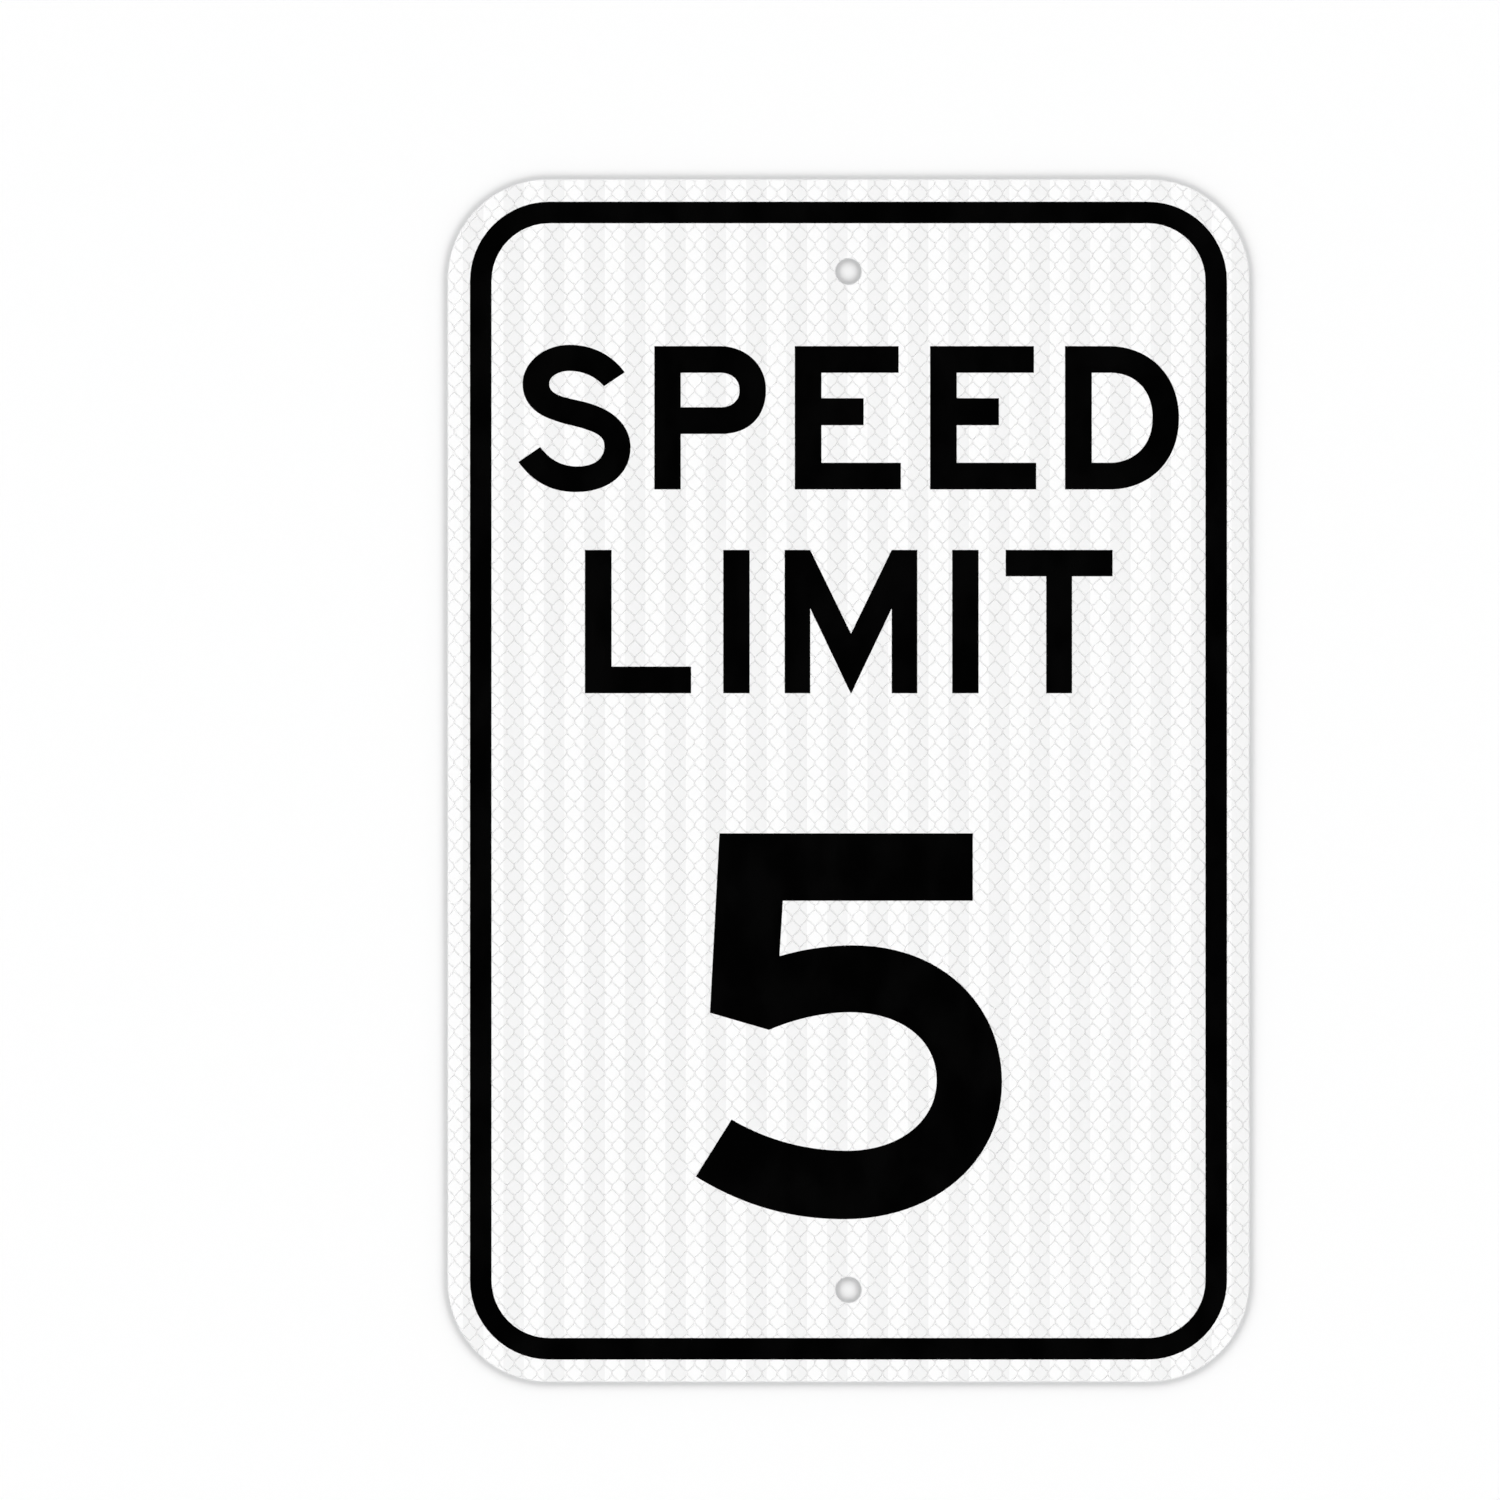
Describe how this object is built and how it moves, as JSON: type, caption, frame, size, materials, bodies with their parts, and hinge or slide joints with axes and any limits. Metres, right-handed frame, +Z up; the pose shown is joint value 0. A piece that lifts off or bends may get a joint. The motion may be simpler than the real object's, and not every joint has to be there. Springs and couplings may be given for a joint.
{
  "type": "speed limit sign",
  "caption": "Flat portrait road sign panel with rounded corners, reflective sheeting, a printed border and a bolt hole near each end, made to bolt to a post.",
  "frame": {"origin": "midway between the two bolt holes, on the back plane of the panel", "axes": "+Z up the panel as it hangs, +X to the reader's right, +Y out of the back towards the post; the printed face looks along -Y"},
  "size_m": [0.3048, 0.002, 0.4572],
  "materials": {
    "blank": "mill finish sheet, rolled along the height",
    "sheeting": "white retroreflective film with a diamond cell lattice under a clear top layer",
    "ink": "black screen ink, satin"
  },
  "bodies": {
    "root": {"aluminium_blank": "blank", "reflective_sheeting": "sheeting", "printed_border": "ink"}
  },
  "joints": []
}
